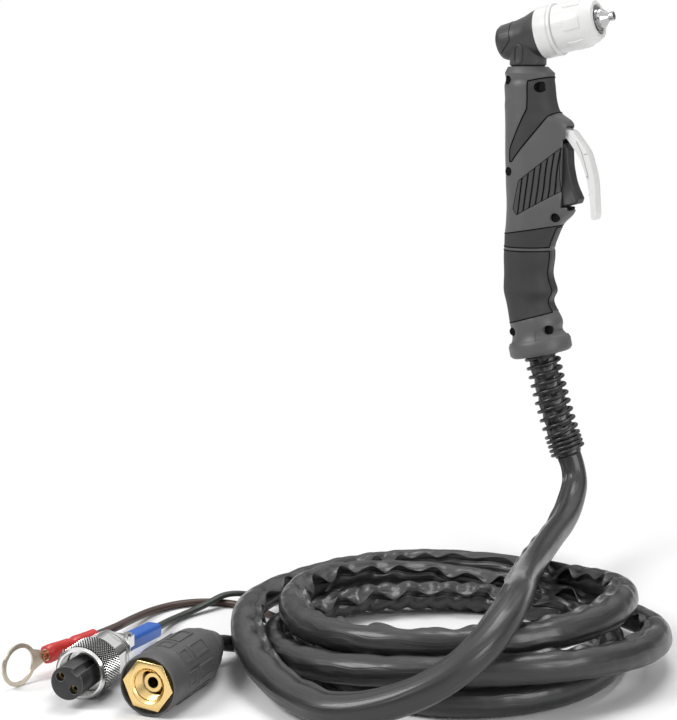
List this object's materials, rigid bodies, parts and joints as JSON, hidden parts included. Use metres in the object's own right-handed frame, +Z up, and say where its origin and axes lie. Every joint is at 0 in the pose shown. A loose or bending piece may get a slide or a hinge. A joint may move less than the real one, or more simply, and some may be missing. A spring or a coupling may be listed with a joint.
{
  "type": "hand plasma cutting torch with lead",
  "caption": "Hand plasma cutting torch with trigger, safety lever and screw-on cup, on a coiled jacketed lead that ends in a gas connector, a switch plug and a ring terminal.",
  "frame": {"origin": "on the handle's centreline beside the trigger, where the hand holds the torch", "axes": "+Z up along the handle to the head, +X the way the nozzle and trigger face, +Y across the handle to its far shell"},
  "size_m": [0.2691, 0.3575, 0.3308],
  "materials": {
    "shell_grey": "fine grain moulded nylon",
    "grip_dark": "soft overmoulded grip",
    "head_dark": "moulded, slight sheen",
    "cup_white": "smooth",
    "brass": "turned",
    "copper": "turned copper",
    "nozzle_plate": "plated, turned",
    "steel": "turned",
    "dark_steel": "blackened",
    "trigger_dark": "moulded",
    "lever_white": "semi-gloss moulded",
    "seal": "smooth",
    "swirl_plastic": "moulded",
    "switch_black": "moulded",
    "wire_grey": "smooth",
    "jacket_black": "glossy coated cover with folds",
    "hose_black": "smooth",
    "connector_black": "moulded, semi-matt",
    "plug_black": "moulded",
    "plug_chrome": "plated, knurled",
    "sleeve_blue": "shrunk sleeve",
    "lead_dark": "smooth",
    "tin": "tinned copper",
    "strand_copper": "bare strands",
    "sleeve_red": "clear red crimp sleeve",
    "lead_brown": "smooth"
  },
  "bodies": {
    "torch": {"handle_shell_left": "shell_grey", "handle_shell_right": "shell_grey", "upper_grip_inlays": "grip_dark", "ribbed_grip_inlays": "grip_dark", "lower_grip_sleeve": "grip_dark", "handle_screws": "dark_steel", "torch_head": "head_dark", "torch_body": "brass", "neck_tube": "brass", "head_o_ring": "seal", "cup_collar": "cup_white", "electrode": "copper", "trigger_pin": "steel", "trigger_spring": "steel", "lever_pin": "steel", "lever_spring": "steel", "microswitch": "switch_black", "switch_leads": "wire_grey", "cable_union": "brass", "inner_hose": "hose_black", "strain_spring": "dark_steel", "jacket_neck": "jacket_black", "spring_seat": "switch_black", "jacket_drop": "jacket_black", "jacket_coil": "jacket_black", "connector_nipple": "brass", "nipple_o_ring": "seal", "connector_boot": "connector_black", "gas_hose_tail": "hose_black", "jacket_end_sleeve": "seal", "plug_insert": "plug_black", "plug_contacts": "brass", "plug_shell": "plug_chrome", "plug_clamp": "plug_chrome", "plug_clamp_screws": "steel", "marker_sleeve": "sleeve_blue", "trigger_lead": "lead_dark", "ring_terminal": "tin", "terminal_strands": "strand_copper", "terminal_sleeve": "sleeve_red", "pilot_lead": "lead_brown"},
    "nozzle_set": {"nozzle": "nozzle_plate", "swirl_ring": "swirl_plastic"},
    "cup": {"shield_cup": "cup_white", "cup_insert": "brass"},
    "trigger": {"trigger": "trigger_dark"},
    "plunger": {"switch_plunger": "switch_black"},
    "lever": {"safety_lever": "lever_white"},
    "plug_nut": {"plug_coupling_nut": "plug_chrome"},
    "connector_nut": {"connector_nut": "brass", "connector_grip": "connector_black"}
  },
  "joints": [
    {"name": "cup_travel", "type": "slide", "parent": "torch", "child": "nozzle_set", "axis": [0.9781, 0, 0.2079], "range_m": [0, 0.0075]},
    {"name": "cup_turn", "type": "hinge", "parent": "nozzle_set", "child": "cup", "pos_m": [0.02526, 0, 0.10016], "axis": [0.9781, 0, 0.2079], "range_deg": [0, 1800]},
    {"name": "trigger_press", "type": "hinge", "parent": "torch", "child": "trigger", "pos_m": [0.0195, 0, 0.0295], "axis": [0, 1, 0], "range_deg": [0, 6], "stiffness_Nm_per_rad": 0.6, "springref_deg": -8.59},
    {"name": "plunger_travel", "type": "slide", "parent": "torch", "child": "plunger", "axis": [-1, 0, 0], "range_m": [0, 0.0019]},
    {"name": "lever_swing", "type": "hinge", "parent": "torch", "child": "lever", "pos_m": [0.0212, 0, 0.04], "axis": [0, -1, 0], "range_deg": [0, 25], "stiffness_Nm_per_rad": 0.02, "springref_deg": -22.92},
    {"name": "plug_nut_spin", "type": "hinge", "parent": "torch", "child": "plug_nut", "pos_m": [-0.0736, -0.337, -0.2012], "axis": [0.2344, -0.9717, 0.03], "continuous": true},
    {"name": "connector_nut_spin", "type": "hinge", "parent": "torch", "child": "connector_nut", "pos_m": [-0.03756, -0.3232, -0.1996], "axis": [0.1718, -0.9843, 0.04], "continuous": true}
  ],
  "couplings": [
    {"joint": "cup_travel", "follows": "cup_turn", "m_per_rad": 0.0002387},
    {"joint": "plunger_travel", "follows": "trigger_press", "m_per_rad": 0.018}
  ]
}
